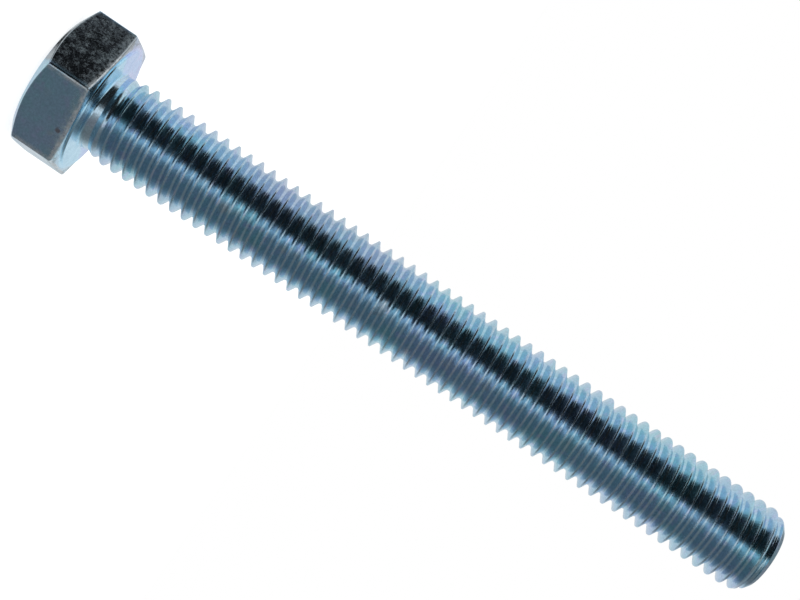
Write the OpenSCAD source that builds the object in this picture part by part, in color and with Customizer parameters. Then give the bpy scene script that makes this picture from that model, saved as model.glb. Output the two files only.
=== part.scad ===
// Hexagon head bolt with a thread over the whole shank.
// The bolt is one piece of steel, and it is drawn as its two natural regions, which meet face to face:
// the forged head with the short neck under it, and the rolled thread with its point.
// The bearing face of the head is the plane z = 0. The shank runs along +Z and the head lies below.

/* [Thread] */
// Nominal diameter of the thread
thread_d = 10; // [9:0.5:12]
// Distance from one turn of the thread to the next
pitch = 1.5; // [1.5:0.25:2]
// Length from the bearing face to the end of the point
shank_len = 85.3; // [40:0.1:90]
// How much smaller than the nominal diameter the crests are
crest_allowance = 0.05; // [0:0.01:0.25]
// Turns over which the thread grows to its full depth
runout_turns = 1.2; // [0.5:0.1:3]
// Where the thread starts, as an angle from a corner of the hexagon
start_angle = 0; // [0:5:355]

/* [Neck] */
// Length of the plain neck that belongs to the head
neck_len = 0.5; // [0.5:0.1:3]
// Radius of the fillet between the neck and the bearing face
fillet_r = 0.4; // [0.2:0.05:0.5]

/* [Point] */
// Diameter of the flat end, inside its 45 degree chamfer
end_d = 7.4; // [6:0.1:8]

/* [Head] */
// Width across two opposite flats
across_flats = 16; // [16:0.5:20]
// Height of the head, with its washer face
head_h = 6.4; // [5.5:0.1:8]
// Diameter of the raised washer face
washer_face_d = 14.6; // [13:0.1:15.5]
// Height of the raised washer face
washer_face_h = 0.2; // [0.1:0.05:0.6]
// Diameter of the flat top, inside the chamfer that cuts the corners
top_d = 14.4; // [13.5:0.1:15.5]
// Slope of that chamfer, measured from the top
chamfer_angle = 30; // [15:1:35]
// Slope by which the underside falls away outside the washer face
underside_angle = 8; // [0:1:12]

/* [Hidden] */

PALE_ZINC = [0.60, 0.72, 0.80];
SLATE_ZINC = [0.36, 0.44, 0.52];
ROUND = 96;
SPARE = 1;                    // how far a cutting outline reaches past what it cuts

corner_r = across_flats / sqrt(3);

// Section of the thread: a 60 degree profile, with depth and crest flat in proportion to the pitch
FLANK_ANGLE = 30;
DEPTH_TO_CREST = 0.6134;      // from the crest down to the root
NECK_TO_CREST = 0.30;         // from the crest down to the bar that the thread is rolled into
crest_r = (thread_d - crest_allowance) / 2;
root_r = crest_r - DEPTH_TO_CREST * pitch;
neck_r = crest_r - NECK_TO_CREST * pitch;
half_crest = pitch / 16;
half_ridge = half_crest + (crest_r - root_r) * tan(FLANK_ANGLE);

// The helix in straight steps. Its last turn runs past the end of the shank, where the point cuts it.
STEPS = 24;                   // steps in one turn
ROWS = 4;                     // points of the section in one turn
first_ridge_z = neck_len + 0.04 + half_ridge;
last_step = ceil((shank_len + half_ridge - first_ridge_z) * STEPS / pitch) + 1;
overrun_z = first_ridge_z + pitch * (last_step / STEPS + 1);

// ---- Threaded shank ----

// Share of its full depth that the thread has reached at a step
function growth(step) = max(0, min(1, step / (runout_turns * STEPS)));

// One turn of the section: the foot of the ridge, the two edges of its crest, and its far foot.
// The first foot closes the turn before, so it has that turn's depth.
function row_r(step, row) =
    row == 0 ? neck_r + growth(step - STEPS) * (root_r - neck_r)
    : row == 3 ? neck_r + growth(step) * (root_r - neck_r)
    : neck_r + growth(step) * (crest_r - neck_r);

function row_z(step, row) =
    first_ridge_z + pitch * step / STEPS + [-half_ridge, -half_crest, half_crest, half_ridge][row];

function ring_point(radius, step, z) =
    let (a = start_angle + 360 * step / STEPS)
        [radius * cos(a), radius * sin(a), z];

function section_point(step, row) = ring_point(row_r(step, row), step, row_z(step, row));

neck_ring = [for (step = [0:STEPS - 1]) ring_point(neck_r, step, neck_len)];
helix = [for (step = [0:last_step], row = [0:ROWS - 1]) section_point(step, row)];
helix_tail = [for (step = [last_step + 1:last_step + STEPS]) section_point(step, 0)];
end_ring = [for (step = [0:STEPS - 1]) ring_point(crest_r, step, overrun_z)];

// Place of a point in the list of all points
function neck_at(step) = step % STEPS;
function helix_at(step, row) =
    row == ROWS ? helix_at(step + STEPS, 0)
    : step <= last_step ? STEPS + step * ROWS + row
    : STEPS + len(helix) + step - last_step - 1;
function end_at(step) = STEPS + len(helix) + len(helix_tail) + step % STEPS;

// Two triangles between neighbouring steps, and a fan from one point to a chain of points
function band(low_a, low_b, high_a, high_b) = [[low_a, high_b, low_b], [low_a, high_a, high_b]];
function fan(apex, chain) = [for (i = [0:len(chain) - 2]) [apex, chain[i + 1], chain[i]]];

neck_faces = concat(
    [[for (step = [0:STEPS - 1]) neck_at(step)]],
    [for (step = [0:STEPS - 2])
        each band(neck_at(step), neck_at(step + 1), helix_at(step, 0), helix_at(step + 1, 0))],
    fan(helix_at(STEPS - 1, 0),
        concat([neck_at(STEPS - 1), neck_at(0)], [for (row = [0:ROWS]) helix_at(0, row)]))
);

helix_faces = [
    for (step = [0:last_step - 1], row = [0:ROWS - 1])
        each band(helix_at(step, row), helix_at(step + 1, row),
                  helix_at(step, row + 1), helix_at(step + 1, row + 1))
];

end_faces = concat(
    fan(end_at(last_step + 1),
        concat([end_at(last_step)], [for (row = [ROWS:-1:0]) helix_at(last_step, row)],
               [helix_at(last_step + 1, 0)])),
    [for (step = [last_step + 1:last_step + STEPS - 1])
        each band(helix_at(step, 0), helix_at(step + 1, 0), end_at(step), end_at(step + 1))],
    [[for (step = [STEPS - 1:-1:0]) end_at(step)]]
);

// All that the point leaves standing: a flat end with a 45 degree chamfer round it
module point_envelope() {
    outer_r = crest_r + SPARE;
    rotate_extrude($fn = ROUND)
        polygon([[0, 0], [outer_r, 0], [outer_r, shank_len - (outer_r - end_d / 2)],
                 [end_d / 2, shank_len], [0, shank_len]]);
}

module threaded_shank() {
    color(PALE_ZINC)
        intersection() {
            polyhedron(points = concat(neck_ring, helix, helix_tail, end_ring),
                       faces = concat(neck_faces, helix_faces, end_faces), convexity = 10);
            point_envelope();
        }
}

// ---- Head ----

// The two cones that cut the six corners: the chamfer, which leaves the flat top its circle, and the
// shallow one on the underside, which starts at the rim of the washer face
module corner_envelope() {
    outer_r = corner_r + SPARE;
    rim_r = washer_face_d / 2;
    rotate_extrude($fn = ROUND)
        polygon([[0, -head_h], [top_d / 2, -head_h],
                 [outer_r, (outer_r - top_d / 2) * tan(chamfer_angle) - head_h],
                 [outer_r, -washer_face_h - (outer_r - rim_r) * tan(underside_angle)],
                 [rim_r, -washer_face_h], [0, -washer_face_h]]);
}

module hexagon() {
    intersection() {
        translate([0, 0, -head_h])
            cylinder(h = head_h, r = corner_r, $fn = 6);
        corner_envelope();
    }
}

module washer_face() {
    translate([0, 0, -washer_face_h])
        cylinder(h = washer_face_h, d = washer_face_d, $fn = ROUND);
}

module filleted_neck() {
    cylinder(h = neck_len, r = neck_r, $fn = ROUND);
    rotate_extrude($fn = ROUND)
        difference() {
            square([neck_r + fillet_r, fillet_r]);
            translate([neck_r + fillet_r, fillet_r])
                circle(r = fillet_r, $fn = ROUND);
        }
}

module hex_head() {
    color(SLATE_ZINC) {
        hexagon();
        washer_face();
        filleted_neck();
    }
}

hex_head();
threaded_shank();
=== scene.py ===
"""Hex bolt, M10 x 1.5 x 85: the looks of the forged head and of the rolled thread."""

from math import acos, atan2, cos, hypot, pi, radians, sin, sqrt, tan
from types import SimpleNamespace
from typing import NamedTuple

import bpy
from mathutils import Matrix, Vector


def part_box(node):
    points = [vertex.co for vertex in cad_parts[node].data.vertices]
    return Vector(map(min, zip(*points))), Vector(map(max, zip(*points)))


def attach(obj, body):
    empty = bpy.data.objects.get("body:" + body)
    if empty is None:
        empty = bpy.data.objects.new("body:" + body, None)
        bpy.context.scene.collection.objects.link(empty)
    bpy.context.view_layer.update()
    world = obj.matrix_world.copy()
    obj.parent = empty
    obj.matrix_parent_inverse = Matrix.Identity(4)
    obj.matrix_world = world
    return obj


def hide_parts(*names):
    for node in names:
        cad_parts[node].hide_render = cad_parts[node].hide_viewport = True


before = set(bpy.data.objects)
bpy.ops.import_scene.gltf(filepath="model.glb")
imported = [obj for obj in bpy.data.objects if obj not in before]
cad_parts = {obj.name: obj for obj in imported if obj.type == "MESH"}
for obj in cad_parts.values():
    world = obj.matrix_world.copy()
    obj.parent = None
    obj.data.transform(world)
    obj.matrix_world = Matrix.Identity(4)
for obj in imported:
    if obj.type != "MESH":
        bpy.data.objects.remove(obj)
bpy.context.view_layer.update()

MM = 0.001

# ---- Sizes, in millimetres. What the boxes of the CAD nodes show is taken from them. ----

head_low, head_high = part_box("hex_head")
shank_low, shank_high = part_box("threaded_shank")

ACROSS_FLATS = (head_high.y - head_low.y) / MM
HEAD_H = -head_low.z / MM
NECK_END = head_high.z / MM
SHANK_LEN = shank_high.z / MM
CREST_R = (shank_high.x - shank_low.x) / 2 / MM

CORNER_R = ACROSS_FLATS / sqrt(3)
TOP_R = 7.2
CHAMFER_ANGLE = radians(30)
UNDERSIDE_ANGLE = radians(8)
WASHER_FACE_R = 7.3
WASHER_FACE_H = 0.2
FILLET_R = 0.4

PITCH = 1.5
NECK_TO_CREST = 0.30
NECK_R = CREST_R - NECK_TO_CREST * PITCH
FLANK = radians(30)
HALF_CREST = PITCH / 16
CREST_ROUND = 0.05
ROOT_ROUND = 0.30
# A root arc of this radius touches both flanks at this depth
DEPTH = (PITCH / 2 - HALF_CREST) / tan(FLANK) - ROOT_ROUND
ROOT_R = CREST_R - DEPTH

RIDGE_START_ANGLE = 0.0
RIDGE_START_Z = 1.165
# Heights between which the ridge grows to its full height, and how much sooner the groove starts
RUNOUT = (0.9, 3.3)
GROOVE_LEAD = 0.5
# The first turns are pushed away from the head by this much, less and less over so many turns
CROWDING = 0.35
CROWDED_TURNS = 1.5

# The point slopes in two steps: a gentle one down to the shoulder, a steeper one down to its flat end
POINT_LEN = 1.7
SHOULDER_LEN = 0.6
SHOULDER_DEPTH = 0.555
SHOULDER_ROUND = 0.4
END_R = 3.7
END_ROUND = 0.15


# ---- Mesh helpers ----

# Straight parts in one rounded corner, and the radius of a corner that stays sharp
ARC_STEPS = 4
SHARP = 0.001
SHARP_ANGLE = radians(35)


def share(value):
    """The value, held between 0 and 1."""
    return max(0.0, min(1.0, value))


def mesh_object(name, verts, faces):
    """An object from points in millimetres."""
    mesh = bpy.data.meshes.new(name)
    mesh.from_pydata([(x * MM, y * MM, z * MM) for x, y, z in verts], [], faces)
    mesh.validate()
    obj = bpy.data.objects.new(name, mesh)
    bpy.context.scene.collection.objects.link(obj)
    return obj


def shade(obj):
    """Smooth shading, broken at sharp edges."""
    mesh = obj.data
    mesh.polygons.foreach_set("use_smooth", [True] * len(mesh.polygons))
    mesh.set_sharp_from_angle(angle=SHARP_ANGLE)


def rounded(corners):
    """An outline of (r, z, radius) corners, each corner turned into an arc of that radius."""
    out = [corners[0][:2]]
    for (ar, az, _), (br, bz, radius), (cr, cz, _) in zip(corners, corners[1:], corners[2:]):
        u = Vector((ar - br, az - bz)).normalized()
        v = Vector((cr - br, cz - bz)).normalized()
        half = acos(max(-1, min(1, u.dot(v)))) / 2
        reach = radius / tan(half)
        centre = Vector((br, bz)) + (u + v).normalized() * radius / sin(half)
        start = Vector((br, bz)) + u * reach - centre
        end = Vector((br, bz)) + v * reach - centre
        turn = atan2(start.cross(end), start.dot(end))
        for i in range(ARC_STEPS + 1):
            a = turn * i / ARC_STEPS
            out.append(
                (
                    centre.x + start.x * cos(a) - start.y * sin(a),
                    centre.y + start.x * sin(a) + start.y * cos(a),
                )
            )
    out.append(corners[-1][:2])
    return out


def stretch_counts(outline, longest):
    """How many equal parts each stretch of the outline is cut into, each about as long as longest."""
    pairs = zip(outline, outline[1:])
    return [max(1, round(hypot(br - ar, bz - az) / longest)) for (ar, az), (br, bz) in pairs]


def subdivided(outline, counts):
    """The outline with each of its stretches cut into its count of equal parts."""
    out = []
    for (ar, az), (br, bz), n in zip(outline, outline[1:], counts):
        out += [(ar + (br - ar) * i / n, az + (bz - az) * i / n) for i in range(n)]
    return out + [outline[-1]]


def lathe(columns, angles):
    """A closed mesh from one outline per angle. Every outline starts and ends on the axis."""
    rows = len(columns[0]) - 2
    verts = [(0, 0, columns[0][0][1])]
    for outline, a in zip(columns, angles):
        verts += [(r * cos(a), r * sin(a), z) for r, z in outline[1:-1]]
    verts.append((0, 0, columns[0][-1][1]))
    last, n = len(verts) - 1, len(columns)
    faces = []
    for i in range(n):
        here, there = 1 + i * rows, 1 + (i + 1) % n * rows
        faces.append((0, there, here))
        faces += [(here + j, there + j, there + j + 1, here + j + 1) for j in range(rows - 1)]
        faces.append((here + rows - 1, there + rows - 1, last))
    return verts, faces


# ---- The forged head ----

# How far each of the hexagon's edges is rounded, from the one on +X
EDGE_ROUND = (0.36, 0.20, 0.24, 0.18, 0.22, 0.12)
EDGE_STEPS = 8
FACE_STEPS = 22
# A narrow strip of flat next to each rounded edge keeps the shading of the flat level
GUARD = 0.05
SIXTH = radians(60)

TOP_ROUND = 0.25
CHAMFER_ROUND = 0.18
UNDERSIDE_ROUND = 0.28
# The low wall of the washer face leans inwards, between these radii
WASHER_FOOT_R = WASHER_FACE_R + 0.02
WASHER_FOOT_ROUND = 0.03
WASHER_RIM_R = WASHER_FACE_R - 0.04
WASHER_RIM_ROUND = 0.06
OUTLINE_STEP = 0.25


def hexagon_ring():
    """The hexagon's outline as (angle, radius, distance from the nearest edge), its edges rounded."""
    ring = []
    for i, (edge, next_edge) in enumerate(zip(EDGE_ROUND, EDGE_ROUND[1:] + EDGE_ROUND[:1])):
        turn = SIXTH * i
        centre = CORNER_R - edge / sin(SIXTH)
        for j in range(EDGE_STEPS + 1):
            a = SIXTH * (j / EDGE_STEPS - 0.5)
            x, y = centre + edge * cos(a), edge * sin(a)
            ring.append((turn + atan2(y, x), hypot(x, y), 0.0))
        # along the flat, from the end of this arc to the start of the next
        start = edge * tan(SIXTH / 2) - CORNER_R / 2
        end = CORNER_R / 2 - next_edge * tan(SIXTH / 2)
        for j in range(FACE_STEPS + 1):
            along = start + GUARD + (end - start - 2 * GUARD) * j / FACE_STEPS
            x, y = ACROSS_FLATS / 2, along
            from_edge = min(along - start, end - along)
            ring.append((turn + SIXTH / 2 + atan2(y, x), hypot(x, y), from_edge))
    return ring


def chamfer_z(radius):
    """Height of the chamfer on top of the head at this radius."""
    return (radius - TOP_R) * tan(CHAMFER_ANGLE) - HEAD_H


def underside_z(radius):
    """Height of the underside at this radius, outside the washer face."""
    return -WASHER_FACE_H - (radius - WASHER_FACE_R) * tan(UNDERSIDE_ANGLE)


def head_outline(radius):
    """The head's outline through its axis, on a side where the hexagon has this radius."""
    corners = [
        (0, -HEAD_H, 0),
        (TOP_R, -HEAD_H, TOP_ROUND),
        (radius, chamfer_z(radius), CHAMFER_ROUND),
        (radius, underside_z(radius), UNDERSIDE_ROUND),
        (WASHER_FOOT_R, -WASHER_FACE_H, WASHER_FOOT_ROUND),
        (WASHER_RIM_R, 0, WASHER_RIM_ROUND),
        (NECK_R, 0, FILLET_R),
        (NECK_R, NECK_END, SHARP),
        (0, NECK_END, 0),
    ]
    return rounded(corners)


# ---- Marks on the head, which the material reads ----

# How much forging scale was under the plate on each side face, from the one after the corner on +X
FACE_SCALE = (0.0, 0.35, 0.5, 0.15, 0.4, 1.0)
# Scale reaches its full amount at this distance from an edge
SCALE_FADE = 0.25
# How far the marks stay off the bends at the ends of a side face, and off its plane
BEND = 0.1
FLAT_TOLERANCE = 0.03
UNDERSIDE_TOLERANCE = 0.04
# The strip of each side face next to the underside, where the trimming die tore the steel:
# where it starts under the washer face, how far it is torn in full, and how far it fades out
TORN_FROM = 0.15
TORN_FULL = 0.4
TORN_FADE = 0.8
# Distance from an edge or from the rim over which the wear, and the highlight painted with it, fade out
EDGE_WEAR_AND_HIGHLIGHT = 0.15
RIM_WEAR_AND_HIGHLIGHT = 0.1
# The rim's wear and painted highlight are weaker on the side of -Y: they start at this y and are full after
# so much more
RIM_SIDE_FROM = -5.5
RIM_SIDE_OVER = 3
LEAST_ON_RIM_SIDE = 0.1


def face_scale(number):
    """The amount of scale on a side face, counted from the one after the corner on +X."""
    return FACE_SCALE[int(number) % 6]


def forge_scale(angle, radius, z, from_edge):
    """1 on a face that is rough with scale, 0 on a smooth one. An edge is as smooth as its smoother face."""
    if radius < WASHER_FACE_R or z > -WASHER_FACE_H - BEND / 2:
        return 0.0
    face, past_edge = divmod(angle % (2 * pi) / SIXTH, 1)
    own = face_scale(face)
    beside = face_scale(face + (1 if past_edge > 0.5 else -1))
    on_edge = min(own, beside)
    return on_edge + (own - on_edge) * min(1.0, from_edge / SCALE_FADE)


def side_face(radius, z):
    """1 on the six flats, 0 elsewhere."""
    on_face = chamfer_z(radius) + BEND < z < underside_z(radius) - BEND
    return 1.0 if radius > ACROSS_FLATS / 2 - FLAT_TOLERANCE and on_face else 0.0


def underside(radius, z):
    """1 on the underside of the head and its washer face, 0 elsewhere."""
    foot = underside_z(max(radius, WASHER_FACE_R))
    return 1.0 if z > foot - UNDERSIDE_TOLERANCE and radius > NECK_R + BEND else 0.0


def torn(radius, z):
    """1 in the torn strip of a side face, 0 elsewhere."""
    if radius < ACROSS_FLATS / 2 - BEND or z > -WASHER_FACE_H - BEND:
        return 0.0
    into_strip = -z - WASHER_FACE_H - TORN_FROM
    return share(1 + (TORN_FULL - into_strip) / TORN_FADE)


def wear_and_highlight(radius, outer, angle, z, from_edge):
    """1 on the rounded edges of the side faces, where handling has dulled the plate and a highlight is
    painted, 0 elsewhere.
    """
    if radius < outer - UNDERSIDE_ROUND or z < chamfer_z(outer):
        return 0.0
    scale = face_scale(angle % (2 * pi) / SIXTH)
    on_upright = (1 - from_edge / EDGE_WEAR_AND_HIGHLIGHT) * (1 - scale)
    on_rim_side = max(LEAST_ON_RIM_SIDE, share((radius * sin(angle) - RIM_SIDE_FROM) / RIM_SIDE_OVER))
    from_rim = underside_z(outer) - UNDERSIDE_ROUND - z
    on_rim = (1 - from_rim / RIM_WEAR_AND_HIGHLIGHT) * on_rim_side
    return share(max(on_upright, on_rim))


def head_marks(angle, outer, from_edge, radius, z):
    """How much of each mark a point of the head has, from 0 to 1."""
    return {
        "forge_scale": forge_scale(angle, radius, z, from_edge),
        "underside": underside(radius, z),
        "torn": torn(radius, z),
        "side_face": side_face(radius, z),
        "wear_and_highlight": wear_and_highlight(radius, outer, angle, z, from_edge),
    }


def forged_head():
    ring = hexagon_ring()
    # one set of counts for all columns, so that they have equally many points
    counts = stretch_counts(head_outline(CORNER_R), OUTLINE_STEP)
    columns = [subdivided(head_outline(outer), counts) for _, outer, _ in ring]
    verts, faces = lathe(columns, [angle for angle, _, _ in ring])
    obj = mesh_object("forged_head", verts, faces)
    shade(obj)
    marks = [
        head_marks(angle, outer, from_edge, radius, z)
        for (angle, outer, from_edge), outline in zip(ring, columns)
        for radius, z in outline[1:-1]
    ]
    for name in marks[0]:
        layer = obj.data.attributes.new(name, "FLOAT", "POINT")
        layer.data.foreach_set("value", [0.0] + [mark[name] for mark in marks] + [0.0])
    return obj


# ---- The rolled thread ----

TURN_STEPS = 90
PROFILE_STEPS = 3
# From level to the slope of a flank
TO_FLANK = radians(60)
# Turns that reach past each end of the shank, where the envelope cuts them
SPARE_TURNS = 2
SPARE = 1
ENVELOPE_COLUMNS = 256


def thread_section():
    """One turn of the thread's profile, from root to root, as (distance from the crest, radius)."""
    side = []
    for i in range(PROFILE_STEPS + 1):
        a = TO_FLANK * i / PROFILE_STEPS
        side.append((PITCH / 2 - ROOT_ROUND * sin(a), ROOT_R + ROOT_ROUND * (1 - cos(a))))
    crest_edge = HALF_CREST - CREST_ROUND * tan(FLANK)
    for i in range(PROFILE_STEPS, -1, -1):
        a = TO_FLANK * i / PROFILE_STEPS
        side.append((crest_edge + CREST_ROUND * sin(a), CREST_R - CREST_ROUND * (1 - cos(a))))
    return [(-x, r) for x, r in side] + [(0, CREST_R)] + [(x, r) for x, r in reversed(side[1:])]


def growth(z):
    """Share of its full depth that the thread has reached at this height."""
    low, high = RUNOUT
    return share((z - low) / (high - low))


def helix_point(section, row, turns):
    """A point of the thread: one row of its section, after so many turns from the start of the ridge."""
    x, r = section[row]
    late = CROWDING * (1 - share(turns / CROWDED_TURNS))
    z = RIDGE_START_Z + PITCH * turns + x + late
    radius = NECK_R + growth(z if r > NECK_R else z + GROOVE_LEAD) * (r - NECK_R)
    a = RIDGE_START_ANGLE + 2 * pi * turns
    return (radius * cos(a), radius * sin(a), z)


def thread_body():
    """The helical surface from below the end of the neck to beyond the end of the point."""
    section = thread_section()
    rows = len(section)
    lead_in = SPARE_TURNS * TURN_STEPS
    total = int((SHANK_LEN - RIDGE_START_Z) / PITCH * TURN_STEPS) + 2 * lead_in

    def at(step, row):
        # the last point of a section is the first point of the next turn
        if row == rows:
            step, row = step + TURN_STEPS, 0
        return step * rows + row if step <= total else (total + 1) * rows + step - total - 1

    def point(step, row):
        return helix_point(section, row, (step - lead_in) / TURN_STEPS)

    verts = [point(step, row) for step in range(total + 1) for row in range(rows)]
    verts += [point(step, 0) for step in range(total + 1, total + TURN_STEPS + 1)]
    faces = [
        (at(step, row), at(step + 1, row), at(step + 1, row + 1), at(step, row + 1))
        for step in range(total)
        for row in range(rows)
    ]
    # both open ends lie outside the envelope, and are closed with a fan each
    low = len(verts)
    verts.append((0, 0, verts[0][2] - PITCH))
    start = [at(step, 0) for step in range(TURN_STEPS + 1)]
    start += [at(0, row) for row in range(rows - 1, 0, -1)]
    faces += [(low, b, a) for a, b in zip(start, start[1:] + start[:1])]
    high = len(verts)
    verts.append((0, 0, verts[high - 2][2] + PITCH))
    end = [at(total, row) for row in range(rows)]
    end += [at(step, 0) for step in range(total + TURN_STEPS, total, -1)]
    faces += [(high, b, a) for a, b in zip(end, end[1:] + end[:1])]
    return mesh_object("rolled_thread", verts, faces)


def shank_envelope():
    """What the end of the neck and the chamfered point leave standing."""
    outer = CREST_R + SPARE
    corners = [
        (0, NECK_END, 0),
        (outer, NECK_END, SHARP),
        (outer, SHANK_LEN - POINT_LEN, SHARP),
        (CREST_R, SHANK_LEN - POINT_LEN, SHARP),
        (CREST_R - SHOULDER_DEPTH, SHANK_LEN - SHOULDER_LEN, SHOULDER_ROUND),
        (END_R, SHANK_LEN, END_ROUND),
        (0, SHANK_LEN, 0),
    ]
    columns = [rounded(corners)] * ENVELOPE_COLUMNS
    verts, faces = lathe(columns, [2 * pi * i / ENVELOPE_COLUMNS for i in range(ENVELOPE_COLUMNS)])
    return mesh_object("shank_envelope", verts, faces)


def rolled_thread():
    body, envelope = thread_body(), shank_envelope()
    cut = body.modifiers.new("point", "BOOLEAN")
    cut.operation = "INTERSECT"
    cut.solver = "MANIFOLD"
    cut.object = envelope
    bpy.context.view_layer.update()
    solid = body.evaluated_get(bpy.context.evaluated_depsgraph_get())
    mesh = bpy.data.meshes.new_from_object(solid)
    body.modifiers.clear()
    body.data = mesh
    bpy.data.objects.remove(envelope)
    shade(body)
    return body


head = forged_head()
thread = rolled_thread()
for piece, node in ((head, "hex_head"), (thread, "threaded_shank")):
    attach(piece, "root")
    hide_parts(node)


# ---- Node graphs ----


class Pattern(NamedTuple):
    """Noise with blotches about size millimetres across. Its values in the span become the levels."""

    size: float
    seed: float
    span: tuple
    levels: tuple = (0.0, 1.0)
    detail: float = 2.0
    roughness: float = 0.5


class Graph:
    """Short names for building a node tree."""

    def __init__(self, tree):
        self.nodes, self.links = tree.nodes, tree.links

    def node(self, kind, *inputs, **settings):
        made = self.nodes.new("ShaderNode" + kind)
        for name, value in settings.items():
            setattr(made, name, value)
        for socket, value in zip(made.inputs, inputs):
            self.feed(socket, value)
        return made

    def feed(self, socket, value):
        if isinstance(value, bpy.types.NodeSocket):
            self.links.new(value, socket)
        elif value is not None:
            socket.default_value = value

    def math(self, operation, a, b=None):
        return self.node("Math", a, b, operation=operation).outputs[0]

    def plus(self, a, b):
        return self.math("ADD", a, b)

    def minus(self, a, b):
        return self.math("SUBTRACT", a, b)

    def times(self, a, b):
        return self.math("MULTIPLY", a, b)

    def fit(self, value, low, high, to_low=0.0, to_high=1.0):
        """The value moved smoothly from low..high to to_low..to_high, and held at the ends."""
        made = self.node("MapRange", value, low, high, to_low, to_high, interpolation_type="SMOOTHSTEP")
        return made.outputs[0]

    def noise(self, where, size, seed, detail=2.0, roughness=0.5):
        """Noise from 0 to 1 with blotches about size millimetres across."""
        made = self.node("TexNoise", where, noise_dimensions="4D")
        made.inputs["W"].default_value = seed
        made.inputs["Scale"].default_value = 1 / (size * MM)
        made.inputs["Detail"].default_value = detail
        made.inputs["Roughness"].default_value = roughness
        return made.outputs[0]

    def pattern(self, where, p):
        """The noise of a Pattern, moved from its span to its levels."""
        return self.fit(self.noise(where, p.size, p.seed, p.detail, p.roughness), *p.span, *p.levels)

    def mix(self, amount, a, b, blend="MIX"):
        made = self.node("Mix", data_type="RGBA", blend_type=blend)
        self.feed(made.inputs["Factor"], amount)
        self.feed(made.inputs["A"], a)
        self.feed(made.inputs["B"], b)
        return made.outputs["Result"]


# ---- Zinc plate ----

BLUE = (0.45, 0.65, 0.80, 1)
LAVENDER = (0.56, 0.62, 0.86, 1)
TEAL = (0.42, 0.68, 0.78, 1)
TAN = (0.60, 0.65, 0.68, 1)
ROSE = (0.53, 0.50, 0.67, 1)
CREST_GREY = (0.60, 0.66, 0.72, 1)
# Painted light: the paler colour of the neck and the first turns
NECK_PAINTED_LIGHT = (0.64, 0.76, 0.85, 1)
# The thicker film under the head shows stronger colours
FILM_CYAN = (0.50, 0.79, 0.98, 1)
FILM_LAVENDER = (0.54, 0.68, 1.0, 1)
FILM_PINK = (0.70, 0.68, 0.97, 1)
SCALE_DARK = (0.30, 0.31, 0.33, 1)
SCALE_LIGHT = (0.52, 0.54, 0.53, 1)
# Painted shade: the six flats are painted darker and cooler
FLAT_PAINTED_SHADE = (0.80, 0.87, 0.92, 1)
TORN_BROWN = (0.60, 0.69, 0.67, 1)
# Pale rubbed plate on the edges, which also paints a highlight there
PALE_WEAR_AND_HIGHLIGHT = (0.77, 0.80, 0.82, 1)
NICK_BROWN = (0.26, 0.20, 0.21, 1)

# Two distances are where something has faded out and where it is full.
# Plain noise is given by its size in millimetres, its seed and, where it isn't 2, its detail.

# Blotches of the clear film, laid over blue one after the other
BLOTCHES = (
    (Pattern(5, 1, (0.45, 0.62)), TEAL),
    (Pattern(7, 2, (0.50, 0.70), (0, 0.5)), LAVENDER),
    (Pattern(1.1, 10, (0.52, 0.68), (0, 0.6)), LAVENDER),
    (Pattern(0.9, 11, (0.54, 0.70), (0, 0.6)), TEAL),
    (Pattern(2.5, 3, (0.58, 0.75), (0, 0.6)), TAN),
)
# The rosy stretch of the thread: its middle, its reach to both sides of it, and its side of the bolt
ROSY_MIDDLE = 26.5 * MM
ROSY_REACH = (15 * MM, 6 * MM)
ROSY_SIDE = (1 * MM, -3 * MM)
ROSY_SPOTS = Pattern(3, 17, (0.35, 0.60), (0.25, 0.45), detail=3)
# The crests, and the thin spots of the film on them
CREST_DEPTH = 0.22
THREAD_START = (0.3 * MM, 0.6 * MM)
THIN_SPOTS = Pattern(0.35, 8, (0.42, 0.60))
THIN_SHARE = 0.3
# Painted light: a paler stretch painted on the neck and the first turns
NECK_LIGHT_START = (0.1 * MM, 0.4 * MM)
NECK_LIGHT_FADE = (2.4 * MM, 1.2 * MM)
NECK_LIGHT_SHARE = 0.6

# The film under the head changes thickness steadily across the bolt, in this direction
FILM_ACROSS = (0.8, 0.6)
FILM_HALF = 5 * MM
FILM_CHANGE = 0.14
CYAN_NOISE = (5, 12)
CYAN_SPAN = (0.44, 0.56)
PINK_NOISE = (4, 13)
PINK_SPAN = (0.54, 0.70)
PINK_SHARE = 0.8

SPECKLE = Pattern(0.6, 9, (0.42, 0.66), detail=4, roughness=0.9)
SCALE_SHARE = 0.9
TORN_SPOTS = Pattern(0.4, 14, (0.35, 0.60), detail=3)
TORN_SHARE = 0.6
WEAR_AND_HIGHLIGHT_SPOTS = Pattern(0.5, 15, (0.35, 0.60), (0.3, 1.0), detail=3)
# A small mark in the flat between +X and +Y, with a ragged rim
NICK_AT = (6.35 * MM, 5.0 * MM, -1.25 * MM)
NICK_RIM = (0.36 * MM, 0.18 * MM)
NICK_RAGGED = 0.7 * MM
NICK_NOISE = (0.35, 16)
NICK_SHARE = 0.75

GRAIN_NOISE = (0.22, 4, 3)
GRAIN_SPAN = (0.25, 0.75)
GRAIN_SHADOW = (0.88, 1.12)
SATIN = Pattern(1.2, 5, (0.3, 0.7), (0.15, 0.26), detail=4)
LEAST_ROUGHNESS = 0.05
PIT_NOISE = (0.35, 6)
DENT_NOISE = (0.5, 7, 3)
RELIEF_SHARE = 0.8
RELIEF = 0.008 * MM


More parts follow.
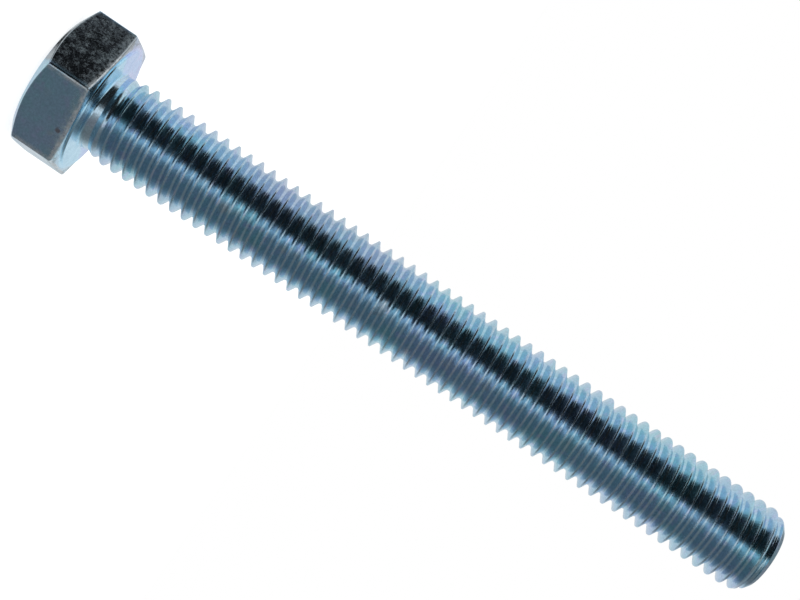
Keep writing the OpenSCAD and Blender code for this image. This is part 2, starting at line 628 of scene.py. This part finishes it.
def plate_marks(g):
    """What the plate's colour, roughness and relief share: places, and amounts from 0 to 1."""
    where = g.node("TexCoord").outputs["Object"]
    x, y, z = g.node("SeparateXYZ", where).outputs
    radius = g.math("SQRT", g.plus(g.times(x, x), g.times(y, y)))
    near_crest = g.fit(radius, (CREST_R - CREST_DEPTH) * MM, CREST_R * MM)

    def layer(name):
        return g.node("Attribute", attribute_name=name).outputs["Fac"]

    scale = layer("forge_scale")
    return SimpleNamespace(
        where=where,
        x=x,
        y=y,
        z=z,
        crest=g.times(near_crest, g.fit(z, *THREAD_START)),
        scale=scale,
        speckle=g.times(g.pattern(where, SPECKLE), scale),
        under=layer("underside"),
        torn=g.times(layer("torn"), g.pattern(where, TORN_SPOTS)),
        flat=layer("side_face"),
        wear_and_highlight=g.times(layer("wear_and_highlight"), g.pattern(where, WEAR_AND_HIGHLIGHT_SPOTS)),
        grain=g.noise(where, *GRAIN_NOISE),
    )


def thread_tint(g, m):
    """The thread and the neck: blotches of the clear film, a rosy stretch on the -Y side, thin spots of the
    film on the crests, and painted light, a paler stretch on the neck and the first turns.
    """
    tint = BLUE
    for pattern, colour in BLOTCHES:
        tint = g.mix(g.pattern(m.where, pattern), tint, colour)
    # a rosy tint on the -Y side of the thread, partway along it
    from_middle = g.math("ABSOLUTE", g.minus(m.z, ROSY_MIDDLE))
    rosy = g.times(g.fit(from_middle, *ROSY_REACH), g.fit(m.y, *ROSY_SIDE))
    tint = g.mix(g.times(rosy, g.pattern(m.where, ROSY_SPOTS)), tint, ROSE)
    thin = g.times(m.crest, g.pattern(m.where, THIN_SPOTS))
    tint = g.mix(g.times(thin, THIN_SHARE), tint, CREST_GREY)
    # painted light: the neck and the first turns are painted paler
    neck = g.times(g.fit(m.z, *NECK_LIGHT_FADE), g.fit(m.z, *NECK_LIGHT_START))
    return g.mix(g.times(neck, NECK_LIGHT_SHARE), tint, NECK_PAINTED_LIGHT)


def underside_tint(g, m):
    """The thicker film under the head, which drifts from cyan to lavender and pink."""
    across = g.plus(g.times(m.x, FILM_ACROSS[0]), g.times(m.y, FILM_ACROSS[1]))
    lower = g.fit(across, -FILM_HALF, FILM_HALF, -FILM_CHANGE, FILM_CHANGE)
    cyan = g.fit(g.plus(g.noise(m.where, *CYAN_NOISE), lower), *CYAN_SPAN)
    pink = g.fit(g.minus(g.noise(m.where, *PINK_NOISE), lower), *PINK_SPAN, 0, PINK_SHARE)
    return g.mix(pink, g.mix(cyan, FILM_LAVENDER, FILM_CYAN), FILM_PINK)


def nick(g, m):
    """How much of the nick's colour shows."""
    from_nick = g.node("VectorMath", m.where, NICK_AT, operation="DISTANCE").outputs["Value"]
    ragged = g.times(g.minus(g.noise(m.where, *NICK_NOISE), 0.5), NICK_RAGGED)
    return g.times(g.fit(g.plus(from_nick, ragged), *NICK_RIM), NICK_SHARE)


def plate_tint(g, m):
    """The film's colour, with the marks of forging and handling on the head laid over it, a highlight
    painted on the rubbed edges and shade painted on the flats.
    """
    tint = g.mix(m.under, thread_tint(g, m), underside_tint(g, m))
    tint = g.mix(g.times(m.torn, TORN_SHARE), tint, TORN_BROWN)
    tint = g.mix(g.times(m.scale, SCALE_SHARE), tint, g.mix(m.speckle, SCALE_DARK, SCALE_LIGHT))
    # painted shade: the flats are darkened and cooled
    tint = g.mix(m.flat, tint, g.mix(1.0, tint, FLAT_PAINTED_SHADE, "MULTIPLY"))
    # the rubbed edges: a paler plate, which also paints a highlight there
    tint = g.mix(m.wear_and_highlight, tint, PALE_WEAR_AND_HIGHLIGHT)
    tint = g.mix(nick(g, m), tint, NICK_BROWN)
    shadow = g.fit(m.grain, *GRAIN_SPAN, *GRAIN_SHADOW)
    return g.mix(1.0, tint, g.node("CombineColor", shadow, shadow, shadow).outputs[0], "MULTIPLY")


def plate_roughness(g, m):
    """Satin plate, glassy between the speckles of a scaly face, duller on the rubbed edges and where it is
    torn.
    """
    rough = g.pattern(m.where, SATIN)
    for mark, change in (
        (m.crest, 0.04),
        (m.scale, -0.14),
        (m.speckle, 0.18),
        (m.torn, 0.20),
        (m.wear_and_highlight, 0.18),
    ):
        rough = g.plus(rough, g.times(mark, change))
    return g.math("MAXIMUM", rough, LEAST_ROUGHNESS)


def plate_relief(g, m):
    """Fine grain everywhere but on scale, which has pits instead, and small dents on the crests."""
    scaly = g.times(m.scale, RELIEF_SHARE)
    grain = g.times(m.grain, g.minus(1.0, scaly))
    pits = g.times(g.noise(m.where, *PIT_NOISE), scaly)
    dents = g.times(g.noise(m.where, *DENT_NOISE), g.times(m.crest, RELIEF_SHARE))
    bump = g.node("Bump")
    bump.inputs["Strength"].default_value = 1.0
    bump.inputs["Distance"].default_value = RELIEF
    g.feed(bump.inputs["Height"], g.plus(g.plus(grain, pits), dents))
    return bump.outputs[0]


def zinc_plate():
    """Bright zinc plate under a thin clear film."""
    mat = bpy.data.materials.new("zinc_plate")
    mat.use_nodes = True
    g = Graph(mat.node_tree)
    marks = plate_marks(g)
    shader = g.nodes["Principled BSDF"]
    shader.inputs["Metallic"].default_value = 1.0
    g.feed(shader.inputs["Base Color"], plate_tint(g, marks))
    g.feed(shader.inputs["Roughness"], plate_roughness(g, marks))
    g.feed(shader.inputs["Normal"], plate_relief(g, marks))
    return mat


plate = zinc_plate()
for piece in (head, thread):
    piece.data.materials.clear()
    piece.data.materials.append(plate)


# ---- Camera ----

CAMERA_ANGLE = radians(5.5)
CAMERA_DISTANCE = 172.44
CAMERA_HEIGHT = 36.06
AIM = Vector((0, -0.98, 37.59))
BOLT_SLOPE = radians(34.108)
LENS = 72.62
SENSOR = 36


def camera():
    """Looks at the bolt from +X, rolled so that the bolt slopes down to the right."""
    data = bpy.data.cameras.new("camera")
    data.lens = LENS
    data.sensor_width = SENSOR
    data.clip_start = 5 * MM
    obj = bpy.data.objects.new("camera", data)
    bpy.context.scene.collection.objects.link(obj)
    place = Vector((CAMERA_DISTANCE * cos(CAMERA_ANGLE), CAMERA_DISTANCE * sin(CAMERA_ANGLE), CAMERA_HEIGHT))
    back = (place - AIM).normalized()
    along = Vector((0, 0, 1))
    along = (along - back * along.dot(back)).normalized()
    across = along.cross(back)
    right = along * cos(BOLT_SLOPE) - across * sin(BOLT_SLOPE)
    up = back.cross(right)
    obj.matrix_world = Matrix.Translation(place * MM) @ Matrix((right, up, back)).transposed().to_4x4()
    bpy.context.scene.camera = obj


# ---- Studio ----

# Brightness of the studio round the bolt, by the angle in degrees from the camera's side of it
STUDIO = (
    (-180, 0.82),
    (-140, 0.82),
    (-110, 0.86),
    (-81.5, 0.90),
    (-73.5, 0.02),
    (-12, 0.01),
    (-3, 0.10),
    (3.5, 0.92),
    (13.5, 0.92),
    (25, 0.32),
    (42, 0.20),
    (90, 0.18),
    (108, 0.27),
    (126, 0.56),
    (140, 0.82),
    (180, 0.82),
)
COOL = (0.93, 0.975, 1.0)
WHITE = (1.0, 1.0, 1.0, 1)
# The lights are arched: towards both ends of the bolt they stand further round it
ARCH = radians(22)
ARCH_SLOPE = (0.35, 0.80)
# A grey wall stands behind the point. The range is the cosine of the angle from its middle.
END_WALL_TOWARDS = (-0.597, -0.058, 0.80)
END_WALL_RANGE = (0.86, 0.94)
END_WALL_LEVEL = 0.27
# Behind the head the backdrop is dark on one side. Each range is where it fades in along one axis.
BACKDROP_BEHIND = (0.0, -0.3)
BACKDROP_NEAR_SIDE = (-0.14, -0.19)
BACKDROP_FAR_SIDE = (-0.38, -0.30)
BACKDROP_BELOW = (-0.45, -0.58)
BACKDROP_LEVEL = 0.04


def cool(level):
    """A slightly cool light of this brightness."""
    return (*(level * c for c in COOL), 1)


def light_round_bolt(g, x, y, z):
    """The studio's brightness by the angle round the bolt."""
    arch = g.fit(g.math("ABSOLUTE", z), *ARCH_SLOPE, 0, ARCH)
    angle = g.minus(g.minus(g.math("ARCTAN2", y, x), CAMERA_ANGLE), arch)
    turn = g.math("FRACT", g.plus(g.math("DIVIDE", angle, 2 * pi), 1.5))
    ramp = g.node("ValToRGB", turn)
    stops = ramp.color_ramp.elements
    for degrees, _ in STUDIO[1:-1]:
        stops.new(0.5 + degrees / 360)
    for stop, (_, level) in zip(stops, STUDIO):
        stop.color = cool(level)
    return ramp.outputs[0]


def studio():
    """A white room with soft light behind the bolt and a dark side that gives the metal its contrast."""
    world = bpy.data.worlds.new("studio")
    bpy.context.scene.world = world
    world.use_nodes = True
    g = Graph(world.node_tree)
    towards = g.node("TexCoord").outputs["Generated"]
    x, y, z = g.node("SeparateXYZ", towards).outputs
    light = light_round_bolt(g, x, y, z)
    wall = g.node("VectorMath", towards, END_WALL_TOWARDS, operation="DOT_PRODUCT").outputs["Value"]
    light = g.mix(g.fit(wall, *END_WALL_RANGE), light, cool(END_WALL_LEVEL))
    beside = g.times(g.fit(y, *BACKDROP_NEAR_SIDE), g.fit(y, *BACKDROP_FAR_SIDE))
    shaded = g.times(g.times(g.fit(x, *BACKDROP_BEHIND), beside), g.fit(z, *BACKDROP_BELOW))
    light = g.mix(shaded, light, cool(BACKDROP_LEVEL))
    # the camera itself sees plain white
    light = g.mix(g.node("LightPath").outputs["Is Camera Ray"], light, WHITE)
    g.feed(g.nodes["Background"].inputs["Color"], light)


FLOOR_SIZE = 4.0
FLOOR_PALE = (0.8, 0.8, 0.8, 1)
FLOOR_GLOW = 0.85


def floor():
    """A pale floor under the head, which the bolt doesn't mirror."""
    mesh = bpy.data.meshes.new("floor")
    half = FLOOR_SIZE / 2
    z = -HEAD_H * MM
    corners = [(-half, -half, z), (half, -half, z), (half, half, z), (-half, half, z)]
    mesh.from_pydata(corners, [], [(0, 1, 2, 3)])
    obj = bpy.data.objects.new("floor", mesh)
    bpy.context.scene.collection.objects.link(obj)
    mat = bpy.data.materials.new("pale_floor")
    mat.use_nodes = True
    shader = mat.node_tree.nodes["Principled BSDF"]
    shader.inputs["Base Color"].default_value = FLOOR_PALE
    shader.inputs["Roughness"].default_value = 1.0
    shader.inputs["Specular IOR Level"].default_value = 0.0
    shader.inputs["Emission Color"].default_value = WHITE
    shader.inputs["Emission Strength"].default_value = FLOOR_GLOW
    mesh.materials.append(mat)
    obj.visible_glossy = False


camera()
studio()
floor()
bpy.context.scene.view_settings.view_transform = "Standard"
